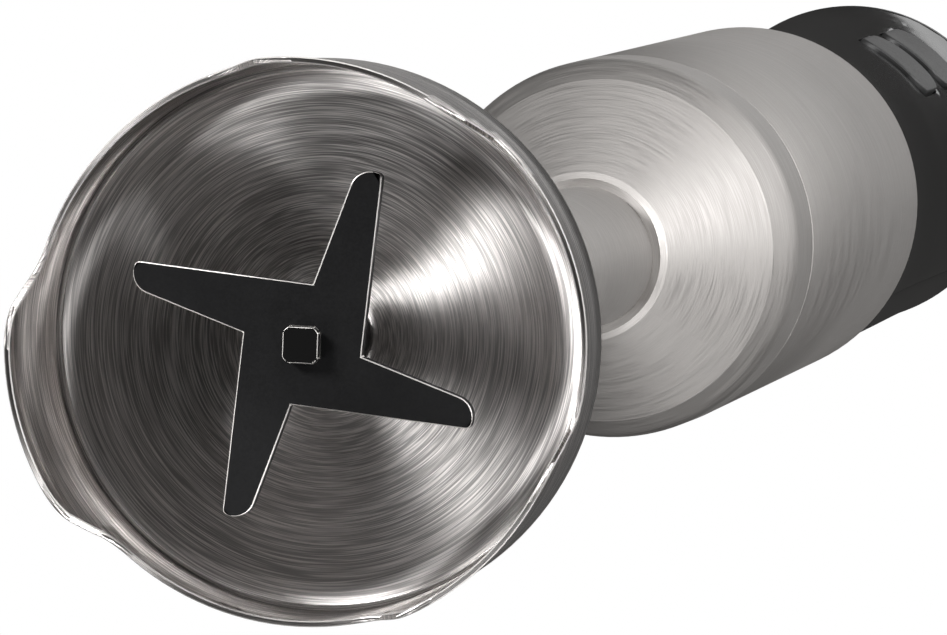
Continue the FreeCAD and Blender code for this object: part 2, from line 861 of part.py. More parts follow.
def make_motor_frame():
    """Cradle, rubber cushions, end brackets and their sintered bushings."""
    inner = "(cradle_radius - cradle_wall)"
    ring("motor_cradle", inner, "cradle_radius", "nose_height", "cradle_height")
    ring("front_cushion", "cushion_inner_radius", "bracket_radius - 0.6", WEB_TOP, CUSHION_TOP)
    ring("rear_cushion", "bracket_radius", inner, "rear_bracket_height", REAR_TOP)
    front = turned(
        "front_bracket",
        [
            ("motor_bushing_radius", CUSHION_TOP),
            ("bracket_radius - 0.6", CUSHION_TOP),
            ("bracket_radius - 0.6", BRACKET_TOP),
            ("bracket_hub_radius", BRACKET_TOP),
            ("bracket_hub_radius", f"{CUSHION_TOP} + bracket_hub_length"),
            ("motor_bushing_radius", f"{CUSHION_TOP} + bracket_hub_length"),
        ],
    )
    rear = turned(
        "rear_bracket",
        [
            ("motor_bushing_radius", "rear_bracket_height"),
            ("bracket_radius", "rear_bracket_height"),
            ("bracket_radius", REAR_TOP),
            ("bracket_hub_radius", REAR_TOP),
            ("bracket_hub_radius", "rear_bracket_height + bracket_hub_length"),
            ("motor_bushing_radius", "rear_bracket_height + bracket_hub_length"),
        ],
    )
    spans = [
        (front, BRACKET_TOP, "stator_height", CUSHION_TOP),
        (rear, STATOR_TOP, "rear_bracket_height", "rear_bracket_height"),
    ]
    for bracket, foot, top, plate in spans:
        posts = new_sketch(bracket, "XY_Plane", foot)
        holes = new_sketch(bracket, "XY_Plane", plate if bracket is front else foot)
        for side in ("screw_circle", "-screw_circle"):
            circle_in(posts, "0", side, "post_radius")
            circle_in(holes, "0", side, "screw_radius")
        grow(bracket, posts, f"{top} - {foot}")
        carve(bracket, holes, "40", back=True)
    hub_top = f"({CUSHION_TOP} + bracket_hub_length)"
    ring("front_motor_bushing", MOTOR_BORE, "motor_bushing_radius", CUSHION_TOP, hub_top)
    hub_top = "(rear_bracket_height + bracket_hub_length)"
    ring("rear_motor_bushing", MOTOR_BORE, "motor_bushing_radius", "rear_bracket_height", hub_top)
    screws = []
    for index, side in enumerate(("screw_circle", "-screw_circle")):
        name = f"motor_screw_{index + 1}"
        length = f"({REAR_TOP} - {CUSHION_TOP})"
        sizes = ("screw_radius", length, "screw_head_radius", "screw_head_length")
        screws.append(screw(name, "0", side, CUSHION_TOP, *sizes))
    group("motor_screws", screws)
    ways = new_sketch(rear, "XY_Plane", "rear_bracket_height")
    for side in ("", "-"):
        circle_in(ways, f"{side}(holder_reach - lead_inset)", "0", "lead_radius + 0.3")
    carve(rear, ways, "bracket_thickness", back=True)


def make_stator():
    """The laminated stator with its four slots and the two field coils."""
    stator = ring("stator_core", "stator_bore", "stator_radius", "stator_height", STATOR_TOP)
    tie_holes = new_sketch(stator, "XY_Plane", "stator_height")
    for side in ("screw_circle", "-screw_circle"):
        circle_in(tie_holes, "0", side, "screw_radius")
    carve(stator, tie_holes, "stator_length", back=True)
    slots = new_sketch(stator, "XY_Plane", "stator_height")
    far = "(coil_near + coil_width)"
    right = ("coil_reach - coil_width", "coil_reach")
    left = ("-coil_reach", "coil_width - coil_reach")
    for x_low, x_high in (right, left):
        for y_low, y_high in (("coil_near", far), (f"-{far}", "-coil_near")):
            outline(slots, [(x_low, y_low), (x_high, y_low), (x_high, y_high), (x_low, y_high)])
    carve(stator, slots, "stator_length", back=True)
    coils = []
    foot = "(stator_height - coil_overhang)"
    tall = "(stator_length + 2 * coil_overhang)"
    for index, low in enumerate(("coil_near", f"-{far}")):
        name = f"field_coil_{index + 1}"
        full = block(f"{name}_full", "-coil_reach", low, foot, "2 * coil_reach", "coil_width", tall)
        width = "2 * (coil_reach - coil_width)"
        start = "coil_width - coil_reach"
        core = block(f"{name}_core", start, low, "stator_height", width, "coil_width", "stator_length")
        coils.append(cut(name, full, core))
    group("field_coils", coils)


def make_rotor():
    """The rotor shaft with its core, windings, commutator and cooling fan."""
    shaft_foot = "cup_foot_height + cup_depth"
    ring("rotor_shaft", "0", "motor_shaft_radius", shaft_foot, "motor_shaft_top")
    core_radius = "stator_bore - air_gap"
    ring("rotor_core", "motor_shaft_radius", core_radius, "stator_height", STATOR_TOP)
    ends = []
    for index, foot in enumerate(("(stator_height - winding_overhang)", STATOR_TOP)):
        outer = rod(f"winding_{index + 1}_outer", "0", "0", foot, "winding_radius", "winding_overhang")
        inner = rod(f"winding_{index + 1}_bore", "0", "0", foot, "motor_shaft_radius", "winding_overhang")
        ends.append(cut(f"winding_{index + 1}", outer, inner))
    group("rotor_windings", ends)
    top = "commutator_height + commutator_length"
    ring("commutator", "motor_shaft_radius", "commutator_radius", "commutator_height", top)
    fan_top = "fan_height + fan_length"
    fan = turned(
        "cooling_fan",
        [
            ("motor_shaft_radius", "fan_height"),
            ("fan_radius", "fan_height"),
            ("fan_radius", "fan_height + fan_plate"),
            ("fan_hub_radius", "fan_height + fan_plate"),
            ("fan_hub_radius", fan_top),
            ("motor_shaft_radius", fan_top),
        ],
    )
    vane = new_sketch(fan, "XY_Plane", "fan_height + fan_plate")
    half = "fan_blade_thickness / 2"
    outline(
        vane,
        [
            ("fan_hub_radius - 0.4", f"-{half}"),
            ("fan_radius - 0.3", f"-{half}"),
            ("fan_radius - 0.3", half),
            ("fan_hub_radius - 0.4", half),
        ],
    )
    around(fan, grow(fan, vane, "fan_length - fan_plate"), "fan_blades")


def spring_wire(start, axis_turn):
    """A short coil spring swept along a helix, its axis turned to lie along X."""
    wire = size("spring_wire") / 2
    coil = size("spring_coil_radius")
    length = size("holder_reach - commutator_radius - face_gap - brush_length") - 2 * wire
    helix = Part.makeHelix(length / size("spring_turns"), length, coil)
    circle = Part.Wire(Part.makeCircle(wire, FreeCAD.Vector(coil, 0, 0), FreeCAD.Vector(0, 1, 0)))
    coil_shape = Part.Wire(helix).makePipeShell([circle], True, True)
    item = doc.addObject("Part::Feature", "brush_spring")
    item.Shape = coil_shape
    item.Placement = FreeCAD.Placement(start, axis_turn)
    return item


def make_brushes():
    """Two carbon brushes in brass holders, each pushed in by a coil spring."""
    holders, brushes, springs = [], [], []
    start = "(commutator_radius + face_gap)"
    tube_start = "(commutator_radius + 1)"
    tube_length = "(holder_reach - commutator_radius - 1)"
    low = f"({HOLDER_MID} - brush_height / 2)"
    for index, side in enumerate((1, -1)):
        name = f"brush_{index + 1}"
        near = start if side > 0 else f"(-{start} - brush_length)"
        sizes = ("brush_length", "brush_width", "brush_height")
        brushes.append(block(name, near, "-brush_width / 2", low, *sizes))
        near = tube_start if side > 0 else f"(-{tube_start} - {tube_length})"
        outer = block(
            f"holder_{index + 1}_outer",
            near if side > 0 else f"({near} - holder_wall)",
            "-brush_width / 2 - holder_wall",
            f"{low} - holder_wall",
            f"{tube_length} + holder_wall",
            "brush_width + 2 * holder_wall",
            "brush_height + 2 * holder_wall",
        )
        room = (tube_length, "brush_width", "brush_height")
        inner = block(f"holder_{index + 1}_inner", near, "-brush_width / 2", low, *room)
        foot_low = f"{HOLDER_MID} + brush_height / 2 + holder_wall"
        foot = block(
            f"holder_{index + 1}_foot",
            f"{14 * side - 2}",
            "-brush_width / 2",
            foot_low,
            "4",
            "brush_width",
            f"rear_bracket_height - ({foot_low})",
        )
        shell = cut(f"holder_{index + 1}_tube", outer, inner)
        holders.append(fuse(f"holder_{index + 1}", [shell, foot]))
        reach = size("commutator_radius + face_gap + brush_length + spring_wire / 2")
        where = FreeCAD.Vector(side * reach, 0, size(HOLDER_MID))
        springs.append(spring_wire(where, FreeCAD.Rotation(FreeCAD.Vector(0, 1, 0), 90 * side)))
    group("brush_holders", holders)
    group("carbon_brushes", brushes)
    group("brush_springs", springs)


# ---------------------------------------------------------------- body shells


def loft(body, sections, inset, subtract=False):
    """Loft circles through sections, each drawn in by an inset."""
    kind = "PartDesign::SubtractiveLoft" if subtract else "PartDesign::AdditiveLoft"
    sketches = []
    for height, radius, lean in sections:
        sketch = new_sketch(body, "XY_Plane", height)
        circle_in(sketch, "0", f"-({lean})", f"{radius} - ({inset})")
        sketches.append(sketch)
    feature = body.newObject(kind, f"{body.Name}_loft")
    feature.Profile = sketches[0]
    feature.Sections = sketches[1:]
    feature.Ruled = False
    return feature


def make_collar():
    """The steel collar: a sleeve that widens and leans a little to the front."""
    collar = new_body("steel_collar")
    sections = [(COLLAR_FOOT, "seam_radius", "0"), (COLLAR_TOP, "collar_end_radius", "collar_end_lean")]
    loft(collar, sections, "0")
    loft(collar, sections, "collar_wall", subtract=True)


def half_space(body, side):
    """Cut away everything in front of, or behind, the plane where the handle parts."""
    sketch = new_sketch(body, "XZ_Plane", "split_depth")
    low, high = COLLAR_TOP + " - 30", "handle_top_height + 30"
    outline(sketch, [("-60", low), ("60", low), ("60", high), ("-60", high)])
    carve(body, sketch, "80", back=side == "rear")


def handle_shell(name, side):
    """One half of the handle, hollow, with a spigot that enters the collar."""
    shell = new_body(name)
    loft(shell, HANDLE_SECTIONS, "0")
    loft(shell, HANDLE_SECTIONS, "handle_wall", subtract=True)
    spigot = new_sketch(shell, "XY_Plane", f"{COLLAR_TOP} - 3")
    lean = "-(handle_foot_lean)"
    circle_in(spigot, "0", lean, "collar_end_radius - collar_wall - 0.6")
    circle_in(spigot, "0", lean, "handle_foot_radius - handle_wall - 0.6")
    grow(shell, spigot, "3.6")
    half_space(shell, side)
    return shell


def boss_places():
    """Where the four handle screws sit, as (x, z)."""
    return [(x, z) for x in ("boss_reach", "-boss_reach") for z in ("boss_low", "boss_high")]


def board_places():
    """Where the four board screws sit, as (x, z)."""
    x = "(board_half_width - board_screw_inset)"
    levels = ("(board_low + board_screw_inset)", "(board_high - board_screw_inset)")
    return [(side + x, z) for side in ("", "-") for z in levels]


def make_handle():
    """Front and rear halves of the handle and the screws that hold them."""
    front = handle_shell("handle_front", "front")
    bosses = new_sketch(front, "XZ_Plane", "split_depth")
    for x, z in boss_places():
        circle_in(bosses, x, z, "boss_radius")
    reach_shell(front, bosses, False)
    posts = new_sketch(front, "XZ_Plane", BOARD_FACE)
    for x, z in board_places():
        circle_in(posts, x, z, "board_post_radius")
    reach_shell(front, posts, False)
    pilots = new_sketch(front, "XZ_Plane", "split_depth")
    for x, z in boss_places():
        circle_in(pilots, x, z, "shell_screw_radius")
    carve(front, pilots, "shell_screw_depth + 0.5", back=True)
    small_pilots = new_sketch(front, "XZ_Plane", BOARD_FACE)
    for x, z in board_places():
        circle_in(small_pilots, x, z, "board_screw_radius")
    carve(front, small_pilots, "4.5", back=True)
    for level in ("low_button_height", "high_button_height"):
        window = new_sketch(front, "XZ_Plane", "split_depth + 12")
        width = "(button_width + 2 * button_gap)"
        length = "(button_length + 2 * button_gap)"
        rounded_box(window, "0", level, width, length, "button_round")
        carve(front, window, "60", back=True)

    rear = handle_shell("handle_rear", "rear")
    bosses = new_sketch(rear, "XZ_Plane", "split_depth")
    for x, z in boss_places():
        circle_in(bosses, x, z, "boss_radius")
    reach_shell(rear, bosses, True)
    wells = new_sketch(rear, "XZ_Plane", "split_depth - 6")
    holes = new_sketch(rear, "XZ_Plane", "split_depth")
    for x, z in boss_places():
        circle_in(wells, x, z, "shell_screw_head + 0.1")
        circle_in(holes, x, z, "shell_screw_radius")
    carve(rear, wells, "60")
    carve(rear, holes, "60")

    screws = []
    for index, (x, z) in enumerate(boss_places()):
        sizes = ("shell_screw_radius", "shell_screw_depth + 6", "shell_screw_head", "2")
        y = "(-split_depth - shell_screw_depth)"
        screws.append(screw(f"handle_screw_{index + 1}", x, y, z, *sizes, "y"))
    group("handle_screws", screws)


def reach_shell(body, sketch, towards_rear):
    """Pad posts from a sketch until they meet the inside of the shell."""
    pad = body.newObject("PartDesign::Pad", f"{body.Name}_posts")
    pad.Profile = sketch
    pad.Type = "UpToFirst"
    pad.Reversed = towards_rear
    return pad


def make_top_cap():
    """The cap that closes the handle, with the cord's inlet gland at its centre."""
    top = "(handle_top_height + cap_thickness)"
    ceiling = f"({top} - handle_wall)"
    plug = "(handle_top_radius - handle_wall - 0.6)"
    cap = turned(
        "top_cap",
        [
            (f"{plug} - handle_wall", "handle_top_height - cap_plug"),
            (plug, "handle_top_height - cap_plug"),
            (plug, "handle_top_height"),
            ("handle_top_radius", "handle_top_height"),
            ("handle_top_radius", f"{top} - cap_round", "right", "cap_round"),
            ("handle_top_radius - cap_round", top),
            ("gland_radius", top),
            ("gland_radius", ceiling),
            (f"{plug} - handle_wall", ceiling),
        ],
    )
    gland = turned(
        "cord_gland",
        [
            ("gland_bore", f"{ceiling} - gland_flange_length"),
            ("gland_flange", f"{ceiling} - gland_flange_length"),
            ("gland_flange", ceiling),
            ("gland_radius", ceiling),
            ("gland_radius", top),
            ("gland_flange", top),
            ("gland_flange", f"{top} + gland_flange_length"),
            ("gland_radius", f"{top} + gland_flange_length"),
            ("gland_radius - 0.8", f"{top} + gland_length"),
            ("gland_bore", f"{top} + gland_length"),
        ],
    )
    for piece in (cap, gland):
        piece.setExpression("Placement.Base.y", bind("-handle_top_lean"))


# ---------------------------------------------------------------- buttons and electrics


def make_button(name, level):
    """A button whose face follows the handle, with a flange behind and a stem."""
    button = new_body(name)
    loft(button, HANDLE_SECTIONS, "-button_proud")
    frame = new_sketch(button, "XZ_Plane", "0")
    outline(frame, [("-60", "200"), ("60", "200"), ("60", "600"), ("-60", "600")])
    rounded_box(frame, "0", level, "button_width", "button_length", "button_round")
    carve(button, frame, "80", back=True)
    back_face = "(grip_lean + grip_radius - button_depth)"
    behind = new_sketch(button, "XZ_Plane", back_face)
    outline(behind, [("-60", "200"), ("60", "200"), ("60", "600"), ("-60", "600")])
    carve(button, behind, "120")
    flange = new_sketch(button, "XZ_Plane", back_face)
    width = "(button_width + 2 * flange_width)"
    length = "(button_length + 2 * flange_width)"
    rounded_box(flange, "0", level, width, length, "button_round")
    grow(button, flange, "flange_thickness")
    stem = new_sketch(button, "XZ_Plane", back_face)
    circle_in(stem, "0", level, "button_stem_radius")
    tip = f"({BOARD_FACE} + switch_depth + switch_gap + button_travel)"
    grow(button, stem, f"{back_face} - {tip}", back=True)
    return button


def make_electrics():
    """The circuit board and what stands on it, and the two leads to the brushes."""
    board = new_body("circuit_board")
    plate = new_sketch(board, "XZ_Plane", "board_depth")
    low_left = ("-board_half_width", "board_low")
    high_right = ("board_half_width", "board_high")
    outline(plate, [low_left, (high_right[0], low_left[1]), high_right, (low_left[0], high_right[1])])
    for x, z in board_places():
        circle_in(plate, x, z, "board_screw_radius")
    grow(board, plate, "board_thickness")

    switches = []
    for index, level in enumerate(("low_button_height", "high_button_height")):
        corner = ("-switch_width / 2", f"-{BOARD_FACE} - switch_depth", f"{level} - switch_length / 2")
        sizes = ("switch_width", "switch_depth", "switch_length")
        switches.append(block(f"switch_{index + 1}", *corner, *sizes))
    group("micro_switches", switches)

    back = "-board_depth"
    # Each part on the board: its node, half width, foot, reach off the board and length.
    board_parts = (
        ("suppressor_capacitor", "7", "high_button_height - 6", "part_depth", "15"),
        ("speed_triac", "5", "low_button_height - 14", "part_depth - 3", "16"),
        ("terminal_block", "9", "low_button_height + 6", "part_depth + 2", "9"),
    )
    for name, half, foot, reach, length in board_parts:
        node(block(f"{name}_block", f"-{half}", back, foot, f"2 * {half}", reach, length), name)

    screws = []
    for index, (x, z) in enumerate(board_places()):
        sizes = ("board_screw_radius", "4 + board_thickness", "2", "1.4")
        screws.append(screw(f"board_screw_{index + 1}", x, f"(-{BOARD_FACE} - 4)", z, *sizes, "y"))
    group("board_screws", screws)
    make_leads()


def make_leads():
    """Two insulated wires from the board's foot down to the brush holders."""
    radius = size("lead_radius")
    leads = []
    for index, side in enumerate((1, -1)):
        x_low = side * size("holder_reach - lead_inset")
        z_low = size(f"{HOLDER_MID} + brush_height / 2 + holder_wall")
        x_high = side * 3
        y_high = -size("board_depth") + radius
        z_high = size("board_low + 4")
        points = [
            FreeCAD.Vector(x_low, 0, z_low),
            FreeCAD.Vector(x_low, 0, size(f"{REAR_TOP} + lead_run")),
            FreeCAD.Vector(x_high, y_high, size(f"{COLLAR_TOP} - lead_run")),
            FreeCAD.Vector(x_high, y_high, z_high),
        ]
        path = rounded_path(points, 5)
        circle = Part.Wire(Part.makeCircle(radius, points[0], FreeCAD.Vector(0, 0, 1)))
        item = doc.addObject("Part::Feature", f"lead_{index + 1}")
        item.Shape = path.makePipeShell([circle], True, False)
        leads.append(item)
    group("motor_leads", leads)


def rounded_path(points, radius):
    """Straight runs joined by tangent arcs of one radius."""
    edges = []
    last = points[0]
    for before, corner, after in zip(points, points[1:], points[2:]):
        back = (before - corner).normalize()
        ahead = (after - corner).normalize()
        turn = math.pi - back.getAngle(ahead)
        step = radius * math.tan(turn / 2)
        start, end = corner + back * step, corner + ahead * step
        middle_way = (back + ahead).normalize()
        middle = corner + middle_way * (radius / math.cos(turn / 2) - radius)
        edges.append(Part.LineSegment(last, start).toShape())
        edges.append(Part.Arc(start, middle, end).toShape())
        last = end
    edges.append(Part.LineSegment(last, points[-1]).toShape())
    return Part.Wire(edges)


# ---------------------------------------------------------------- build, check, write


def build():
    """Make every piece."""
    make_bell()
    make_bell_floor()
    make_arm_tube()
    make_flare()
    make_upper_carrier()
    make_blade()
    make_drive_shaft()
    make_couplings()
    make_nose_ring()
    make_motor_frame()
    make_stator()
    make_rotor()
    make_brushes()
    make_collar()
    make_handle()
    make_top_cap()
    make_button("low_button", "low_button_height")
    make_button("high_button", "high_button_height")
    make_electrics()


def check():
    """Stop if any object failed or any piece has no valid solid."""
    bad = [item.Name for item in doc.Objects if {"Invalid", "Error"} & set(item.State)]
    for piece in pieces:
        shape = piece.Shape
        if shape.isNull() or not shape.isValid() or not shape.Solids:
            bad.append(f"{piece.Label} has no valid solid")
    if bad:
        print("failed:", *bad, sep="\n  ")
        sys.exit(1)


build()
doc.recompute()
check()
os.makedirs("parts", exist_ok=True)
for piece in pieces:
    piece.Shape.exportStep(f"parts/{piece.Label}.step")
    print(piece.Label, len(piece.Shape.Solids), round(piece.Shape.Volume / 1000, 2), "cm3")
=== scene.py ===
"""Immersion blender, seen into the mouth of its bell along a receding body.

Metres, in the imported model's own frame: +Z up the blender's axis, -Y the button side.
"""

import json
import math

import bpy
from mathutils import Matrix, Vector


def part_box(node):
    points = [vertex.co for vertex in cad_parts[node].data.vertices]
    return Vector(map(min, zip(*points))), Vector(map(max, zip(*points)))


MM = 0.001

# ------------------------------------------------------------------ camera and stage

# The camera stands below the bell, off the axis towards the front right.
VIEW_FIELD = math.radians(9.02)
VIEW_DISTANCE = 0.6768  # from the camera to the middle of the rim
VIEW_AXIS_TILT = (0.19075, -0.06381)  # its lean right and down as it recedes; negative is up
VIEW_RIM_OFFSET = (-0.02107, 0.00360)  # the rim's middle, right and down from the line of sight
FRONT_TURN = math.radians(50.0)  # the button side, turned up from the view's right

LIGHT_AIM = Vector((0, 0, 0.12))
LIGHT_DISTANCE = 1.2
AMBIENT = 0.04

FLOOR_HALF_WIDTH = 3.0
FLOOR_DROP = 0.2 * MM

# ------------------------------------------------------------------ edges and surface grain

SHARP_ANGLE = math.radians(35)
WELD_DISTANCE = 0.001 * MM
BLADE_EDGE = 0.11 * MM
STUB_EDGE = 0.07 * MM
RIM_EDGE = 0.14 * MM
STEP_EDGE = 0.08 * MM
HOUSING_EDGE = 0.3 * MM
# STUB_FADE: the height over which the stub's painted dark end gives way to its steel colour.
STUB_FADE = 0.2 * MM

# Each set of scratches: line spacing as a multiple of the pitch, how often a line breaks
# round the turn, its weight, and a shift that keeps the sets apart.
SCRATCH_SETS = ((1.0, 2.5, 0.5, 0.0), (2.2, 4.0, 0.35, 3.0), (8.0, 1.2, 0.12, 7.0))
SCRATCH_DEPTH_SHARE = 0.7  # how much height counts beside radius in placing a line
BLOTCHES_PER_METRE = 60.0
STUB_GRAINS_PER_METRE = 4000.0

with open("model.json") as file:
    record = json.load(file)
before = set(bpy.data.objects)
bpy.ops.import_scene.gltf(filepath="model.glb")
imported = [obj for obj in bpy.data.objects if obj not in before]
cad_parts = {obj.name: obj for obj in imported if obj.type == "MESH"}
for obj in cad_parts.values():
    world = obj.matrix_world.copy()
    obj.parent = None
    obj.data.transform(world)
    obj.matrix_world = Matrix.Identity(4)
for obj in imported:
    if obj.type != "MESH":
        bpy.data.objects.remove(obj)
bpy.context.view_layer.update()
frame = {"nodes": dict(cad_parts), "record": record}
NODES = frame["nodes"]


def place_camera():
    """Stand the camera where the bell fills the left of the view and the body recedes."""
    right, down, ahead = Vector((1, 0, 0)), Vector((0, 1, 0)), Vector((0, 0, 1))
    axis = Vector((*VIEW_AXIS_TILT, 0))
    axis.z = math.sqrt(1 - axis.length_squared)
    front = Vector((math.cos(FRONT_TURN), -math.sin(FRONT_TURN), 0))
    row_y = -(front - axis * front.dot(axis)).normalized()
    row_x = row_y.cross(axis)
    rim = Vector((*VIEW_RIM_OFFSET, 0))
    rim.z = math.sqrt(VIEW_DISTANCE**2 - rim.length_squared)

    def to_row(vector):
        return Vector((vector.dot(row_x), vector.dot(row_y), vector.dot(axis)))

    data = bpy.data.cameras.new("camera")
    data.sensor_width = 36.0
    data.angle = VIEW_FIELD
    data.clip_start = 0.01
    camera = bpy.data.objects.new("camera", data)
    columns = [to_row(right), -to_row(down), -to_row(ahead)]
    turn = Matrix([[column[row] for column in columns] for row in range(3)])
    camera.matrix_world = Matrix.Translation(-to_row(rim)) @ turn.to_4x4()
    bpy.context.scene.collection.objects.link(camera)
    bpy.context.scene.camera = camera
    return camera


def add_softbox(camera, name, tilt, turn, size, power):
    """A square softbox. Tilt is measured from the camera, turn round the view from its right."""
    data = bpy.data.lights.new(name, "AREA")
    data.size = size
    data.energy = power
    light = bpy.data.objects.new(name, data)
    tilt, turn = math.radians(tilt), math.radians(turn)
    way = Vector((math.sin(tilt) * math.cos(turn), math.sin(tilt) * math.sin(turn), math.cos(tilt)))
    way = camera.matrix_world.to_3x3() @ way
    place = Matrix.Translation(LIGHT_AIM + way * LIGHT_DISTANCE)
    light.matrix_world = place @ way.to_track_quat("Z", "Y").to_matrix().to_4x4()
    light.visible_camera = False
    bpy.context.scene.collection.objects.link(light)


def light_studio(camera):
    """Boxes ranged round the blender, the strongest for the bell's bright wedges."""
    add_softbox(camera, "upper_right", 72, 22, 0.22, 15)
    add_softbox(camera, "lower_right", 72, 300, 0.30, 17)
    add_softbox(camera, "upper_left", 72, 147, 0.30, 22)
    add_softbox(camera, "top", 72, 90, 0.30, 11)
    add_softbox(camera, "left", 72, 210, 0.30, 4)
    add_softbox(camera, "front_upper_right", 50, 60, 0.30, 3.2)
    add_softbox(camera, "front_left", 50, 195, 0.30, 0.5)
    add_softbox(camera, "far_right", 116, 25, 0.60, 4)
    add_softbox(camera, "far_upper_right", 145, 45, 0.60, 1.0)


def make_world():
    """A white surround for the eye, and a dim even one for the light."""
    world = bpy.data.worlds.new("studio")
    bpy.context.scene.world = world
    world.use_nodes = True
    tree = world.node_tree
    tree.nodes.clear()
    out = tree.nodes.new("ShaderNodeOutputWorld")
    mix = tree.nodes.new("ShaderNodeMixShader")
    path = tree.nodes.new("ShaderNodeLightPath")
    seen = tree.nodes.new("ShaderNodeBackground")
    lit = tree.nodes.new("ShaderNodeBackground")
    seen.inputs["Color"].default_value = (1, 1, 1, 1)
    seen.inputs["Strength"].default_value = 1.0
    lit.inputs["Color"].default_value = (1.0, 0.98, 0.96, 1)
    lit.inputs["Strength"].default_value = AMBIENT
    tree.links.new(path.outputs["Is Camera Ray"], mix.inputs[0])
    tree.links.new(lit.outputs[0], mix.inputs[1])
    tree.links.new(seen.outputs[0], mix.inputs[2])
    tree.links.new(mix.outputs[0], out.inputs[0])


def make_floor():
    """A pale floor under the lobes, shown only from above so the view from below is clear."""
    mesh = bpy.data.meshes.new("floor")
    half = FLOOR_HALF_WIDTH
    corners = [(-half, -half, 0), (half, -half, 0), (half, half, 0), (-half, half, 0)]
    mesh.from_pydata(corners, [], [(0, 1, 2, 3)])
    floor = bpy.data.objects.new("floor", mesh)
    floor.location.z = -FLOOR_DROP
    bpy.context.scene.collection.objects.link(floor)
    material = bpy.data.materials.new("floor_paper")
    material.use_nodes = True
    tree = material.node_tree
    shader = tree.nodes["Principled BSDF"]
    shader.inputs["Base Color"].default_value = (0.10, 0.10, 0.10, 1)
    shader.inputs["Roughness"].default_value = 0.85
    shader.inputs["Emission Color"].default_value = (0.86, 0.86, 0.85, 1)
    shader.inputs["Emission Strength"].default_value = 0.8
    clear = tree.nodes.new("ShaderNodeBsdfTransparent")
    side = tree.nodes.new("ShaderNodeNewGeometry")
    mix = tree.nodes.new("ShaderNodeMixShader")
    tree.links.new(side.outputs["Backfacing"], mix.inputs[0])
    tree.links.new(shader.outputs[0], mix.inputs[1])
    tree.links.new(clear.outputs[0], mix.inputs[2])
    tree.links.new(mix.outputs[0], tree.nodes["Material Output"].inputs[0])
    mesh.materials.append(material)
    floor.visible_glossy = False
    floor.visible_diffuse = False
    floor.visible_shadow = False


# ------------------------------------------------------------------ materials


class Shader:
    """A material with a few short ways to add nodes to it."""

    def __init__(self, name, colour, roughness, metallic=0.0):
        self.material = bpy.data.materials.new(name)
        self.material.use_nodes = True
        self.tree = self.material.node_tree
        self.bsdf = self.tree.nodes["Principled BSDF"]
        self.set("Base Color", (*colour, 1))
        self.set("Roughness", roughness)
        self.set("Metallic", metallic)
        self.material.diffuse_color = (*colour, 1)

    def set(self, socket, value):
        self.bsdf.inputs[socket].default_value = value

    def link(self, source, target):
        self.tree.links.new(source, target)

    def add(self, kind, **values):
        node = self.tree.nodes.new(kind)
        for key, value in values.items():
            setattr(node, key, value)
        return node

    def maths(self, operation, first, second=None):
        node = self.add("ShaderNodeMath", operation=operation)
        for index, value in enumerate((first, second)):
            if value is None:
                continue
            if hasattr(value, "default_value"):
                self.link(value, node.inputs[index])
            else:
                node.inputs[index].default_value = value
        return node.outputs[0]

    def place(self):
        """The point in the piece's own frame, as X, Y and Z outputs."""
        spot = self.add("ShaderNodeTexCoord")
        parts = self.add("ShaderNodeSeparateXYZ")
        self.link(spot.outputs["Object"], parts.inputs[0])
        return parts.outputs

    def vector(self, x, y, z):
        node = self.add("ShaderNodeCombineXYZ")
        for index, value in enumerate((x, y, z)):
            if hasattr(value, "default_value"):
                self.link(value, node.inputs[index])
            else:
                node.inputs[index].default_value = value
        return node.outputs[0]

    def noise(self, vector, scale, detail=2.0):
        node = self.add("ShaderNodeTexNoise")
        node.inputs["Scale"].default_value = scale
        node.inputs["Detail"].default_value = detail
        self.link(vector, node.inputs["Vector"])
        return node.outputs["Fac"]

    def spread(self, fac, low, high, out_low, out_high):
        """Stretch a 0 to 1 value between two output values."""
        node = self.add("ShaderNodeMapRange")
        self.link(fac, node.inputs["Value"])
        ends = {"From Min": low, "From Max": high, "To Min": out_low, "To Max": out_high}
        for socket, value in ends.items():
            node.inputs[socket].default_value = value
        return node.outputs["Result"]

    def tint(self, fac, dark, light):
        """Base colour that runs between two colours."""
        node = self.add("ShaderNodeMix", data_type="RGBA")
        node.inputs["A"].default_value = (*dark, 1)
        node.inputs["B"].default_value = (*light, 1)
        self.link(fac, node.inputs["Factor"])
        self.link(node.outputs["Result"], self.bsdf.inputs["Base Color"])

    def bump(self, height, strength, distance):
        node = self.add("ShaderNodeBump")
        node.inputs["Strength"].default_value = strength
        node.inputs["Distance"].default_value = distance
        self.link(height, node.inputs["Height"])
        self.link(node.outputs["Normal"], self.bsdf.inputs["Normal"])


